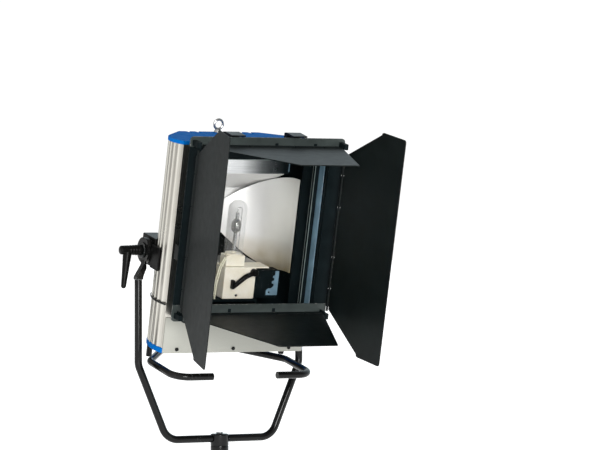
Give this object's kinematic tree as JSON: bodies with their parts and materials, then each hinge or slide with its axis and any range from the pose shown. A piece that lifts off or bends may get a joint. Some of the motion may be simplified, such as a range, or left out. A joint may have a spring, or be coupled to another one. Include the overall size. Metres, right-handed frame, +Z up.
{
  "type": "open-face flood light head",
  "caption": "Lensless studio flood head with safety glass, bent mirror, barndoors on a frame, fluted side walls and a tubular yoke that clamps its tilt.",
  "frame": {"origin": "centre of the end face of the spigot under the yoke", "axes": "+Z up along the spigot, +X to the side with the plain pivot bolt, -Y the way the light points, 13.5 degrees down at rest"},
  "size_m": [0.4503, 0.6225, 0.8137],
  "materials": {
    "black_gloss_paint": "gloss black enamel on steel tube",
    "black_satin_paint": "satin black paint",
    "leaf_black_paint": "matt heat-proof black, slightly grey",
    "fluted_aluminium": "satin anodised extrusion",
    "silver_paint": "satin silver paint",
    "blue_plastic": "moulded, slight sheen",
    "mirror_aluminium": "bright rolled reflector sheet",
    "bright_steel": "zinc plated",
    "safety_glass": "clear toughened glass",
    "quartz_glass": "clear quartz",
    "white_ceramic": "white steatite",
    "ivory_ceramic": "ivory ceramic",
    "black_plastic": "moulded black"
  },
  "bodies": {
    "yoke": {"spigot": "bright_steel", "spigot_boss": "black_gloss_paint", "spigot_bolt": "black_satin_paint", "yoke_arm_left": "black_gloss_paint", "yoke_arm_right": "black_gloss_paint", "yoke_end_left": "black_gloss_paint", "yoke_end_right": "black_gloss_paint", "pivot_washer_left": "black_satin_paint", "pivot_bolt_right": "black_satin_paint"},
    "head": {"accessory_bracket_left": "black_satin_paint", "accessory_bracket_right": "black_satin_paint", "arc_tube": "quartz_glass", "barndoor_frame": "leaf_black_paint", "base_plate": "black_satin_paint", "bottom_cap_left": "blue_plastic", "bottom_cap_right": "blue_plastic", "cable_gland": "black_plastic", "eye_bolt": "bright_steel", "front_housing": "black_satin_paint", "glass_frame": "black_satin_paint", "hinge_rod_bottom": "bright_steel", "hinge_rod_left": "bright_steel", "hinge_rod_right": "bright_steel", "hinge_rod_top": "bright_steel", "holder_bracket": "bright_steel", "holder_screw": "bright_steel", "igniter_box": "black_plastic", "inner_mask": "black_satin_paint", "lamp_base": "white_ceramic", "lamp_envelope": "quartz_glass", "lampholder": "ivory_ceramic", "lower_front_panel": "silver_paint", "panel_screw_left": "bright_steel", "panel_screw_middle": "bright_steel", "panel_screw_right": "bright_steel", "pivot_block_left": "black_satin_paint", "pivot_block_right": "black_satin_paint", "rear_cover": "black_satin_paint", "reflector_main": "mirror_aluminium", "reflector_top": "mirror_aluminium", "safety_glass": "safety_glass", "side_band_left": "black_satin_paint", "side_band_right": "black_satin_paint", "side_profile_left": "fluted_aluminium", "side_profile_right": "fluted_aluminium", "skid_post_front_left": "black_gloss_paint", "skid_post_front_right": "black_gloss_paint", "skid_post_rear_left": "black_gloss_paint", "skid_post_rear_right": "black_gloss_paint", "skid_tube": "black_gloss_paint", "slotted_bracket": "bright_steel", "top_cover": "blue_plastic"},
    "lock_lever": {"lock_lever": "black_plastic"},
    "leaf_top": {"leaf_top": "leaf_black_paint"},
    "leaf_bottom": {"leaf_bottom": "leaf_black_paint"},
    "leaf_left": {"leaf_left": "leaf_black_paint"},
    "leaf_right": {"leaf_right": "leaf_black_paint"},
    "catch_left": {"barndoor_catch_left": "black_satin_paint"},
    "catch_right": {"barndoor_catch_right": "black_satin_paint"},
    "lamp_lever": {"lamp_lever": "black_plastic"}
  },
  "joints": [
    {"name": "head_tilt", "type": "hinge", "parent": "yoke", "child": "head", "pos_m": [0, 0, 0.5248], "axis": [1, 0, 0], "range_deg": [-88.5, 36.5]},
    {"name": "lock_lever_turn", "type": "hinge", "parent": "yoke", "child": "lock_lever", "pos_m": [-0.2, 0, 0.5248], "axis": [1, 0, 0], "range_deg": [-45, 90]},
    {"name": "leaf_left_swing", "type": "hinge", "parent": "head", "child": "leaf_left", "pos_m": [-0.178, -0.20551, 0.56349], "axis": [0, 0.2334, -0.9724], "range_deg": [-31, 99.5]},
    {"name": "leaf_right_swing", "type": "hinge", "parent": "head", "child": "leaf_right", "pos_m": [0.178, -0.20551, 0.56349], "axis": [0, -0.2334, 0.9724], "range_deg": [-27.3, 103.2]},
    {"name": "leaf_top_swing", "type": "hinge", "parent": "head", "child": "leaf_top", "pos_m": [0, -0.24102, 0.7444], "axis": [-1, 0, 0], "range_deg": [-93.3, 96.2]},
    {"name": "leaf_bottom_swing", "type": "hinge", "parent": "head", "child": "leaf_bottom", "pos_m": [0, -0.15502, 0.38618], "axis": [1, 0, 0], "range_deg": [-87, 84.5]},
    {"name": "catch_left_flip", "type": "hinge", "parent": "head", "child": "catch_left", "pos_m": [-0.075, -0.18983, 0.75433], "axis": [-1, 0, 0], "range_deg": [0, 80]},
    {"name": "catch_right_flip", "type": "hinge", "parent": "head", "child": "catch_right", "pos_m": [0.075, -0.18983, 0.75433], "axis": [-1, 0, 0], "range_deg": [0, 80]},
    {"name": "lamp_lever_turn", "type": "hinge", "parent": "head", "child": "lamp_lever", "pos_m": [0.043, -0.08366, 0.47489], "axis": [0, 0.9724, 0.2334], "range_deg": [0, 75]}
  ]
}
